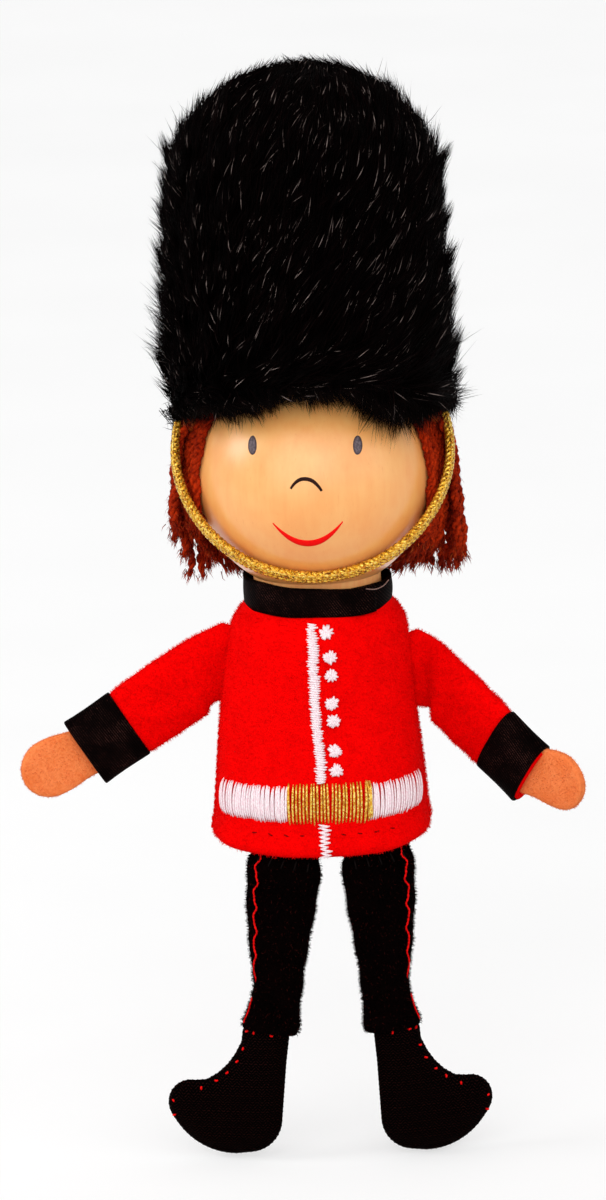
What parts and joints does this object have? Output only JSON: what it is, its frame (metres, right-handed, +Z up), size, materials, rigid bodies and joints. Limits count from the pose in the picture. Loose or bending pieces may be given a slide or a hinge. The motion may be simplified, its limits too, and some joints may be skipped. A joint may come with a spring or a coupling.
{
  "type": "finger puppet",
  "caption": "Soldier finger puppet: wooden ball head with tall fur hat, yarn hair and chin strap; red cloth tunic, swinging arms and legs, fingertip bore in the neck.",
  "frame": {"origin": "centre of the finger bore's mouth, at the lower end of the neck tube", "axes": "+Z up along the finger, through the head to the hat's top; the puppet faces -Y; its left is +X"},
  "size_m": [0.0699, 0.0365, 0.1391],
  "materials": {
    "varnished_wood": "gloss",
    "plain_wood": "matte",
    "black_satin": "satin",
    "black_fur": "pile",
    "wadding": "matte",
    "auburn_yarn": "matte",
    "gold_cord": "metallic thread",
    "white_thread": "satin",
    "dark_thread": "matte",
    "red_thread": "matte",
    "felt": "matte",
    "black_twill": "matte",
    "black_fleece": "matte",
    "red_velour": "pile"
  },
  "bodies": {
    "head": {"head_ball": "varnished_wood", "neck_tube": "plain_wood", "tunic_neck_edge": "red_velour", "collar_ribbon": "black_satin", "hair_right": "auburn_yarn", "hair_left": "auburn_yarn", "hair_back": "auburn_yarn", "hat_side": "black_fur", "hat_crown": "black_fur", "hat_wadding": "wadding"},
    "chin_strap": {"chin_cord_upper": "gold_cord", "chin_cord_lower": "gold_cord", "strap_end_right": "gold_cord", "strap_end_left": "gold_cord"},
    "torso": {"tunic_front": "red_velour", "tunic_back": "red_velour", "right_side_seam": "red_thread", "left_side_seam": "red_thread", "front_line_upper": "white_thread", "front_line_lower": "white_thread", "star_buttons": "white_thread", "belt_right": "white_thread", "belt_left": "white_thread", "belt_buckle": "gold_cord", "leg_seam_stitches": "dark_thread", "right_leg_tab": "black_fleece", "left_leg_tab": "black_fleece", "right_hip_thread": "dark_thread", "left_hip_thread": "dark_thread", "right_shoulder_thread": "red_thread", "left_shoulder_thread": "red_thread"},
    "right_arm": {"right_sleeve": "red_velour", "right_cuff": "black_satin", "right_hand": "felt"},
    "left_arm": {"left_sleeve": "red_velour", "left_cuff": "black_satin", "left_hand": "felt"},
    "right_leg": {"right_trouser": "black_fleece", "right_trouser_stripe": "red_thread", "right_boot_front": "black_twill", "right_boot_back": "black_twill", "right_boot_stitches": "red_thread"},
    "left_leg": {"left_trouser": "black_fleece", "left_trouser_stripe": "red_thread", "left_boot_front": "black_twill", "left_boot_back": "black_twill", "left_boot_stitches": "red_thread"}
  },
  "joints": [
    {"name": "neck_nod", "type": "hinge", "parent": "head", "child": "torso", "pos_m": [0, 0, 0.0024], "axis": [-1, 0, 0], "range_deg": [-15, 15]},
    {"name": "right_shoulder_swing", "type": "hinge", "parent": "torso", "child": "right_arm", "pos_m": [-0.01276, 0, -0.0049], "axis": [0.1163, 0, 0.9932], "range_deg": [-67, 73], "stiffness_Nm_per_rad": 0.0002},
    {"name": "left_shoulder_swing", "type": "hinge", "parent": "torso", "child": "left_arm", "pos_m": [0.01295, 0, -0.0066], "axis": [0.1104, 0, -0.9939], "range_deg": [-100, 40], "stiffness_Nm_per_rad": 0.0002},
    {"name": "right_hip_swing", "type": "hinge", "parent": "torso", "child": "right_leg", "pos_m": [-0.0054, -0.00772, -0.0295], "axis": [-0.9766, 0.2151, 0], "range_deg": [-40, 85]},
    {"name": "left_hip_swing", "type": "hinge", "parent": "torso", "child": "left_leg", "pos_m": [0.0063, -0.0075, -0.0295], "axis": [-0.9606, -0.278, 0], "range_deg": [-40, 85]},
    {"name": "chin_strap_swing", "type": "hinge", "parent": "head", "child": "chin_strap", "pos_m": [0, -0.001, 0.026], "axis": [-1, 0, 0], "range_deg": [0, 60]}
  ]
}
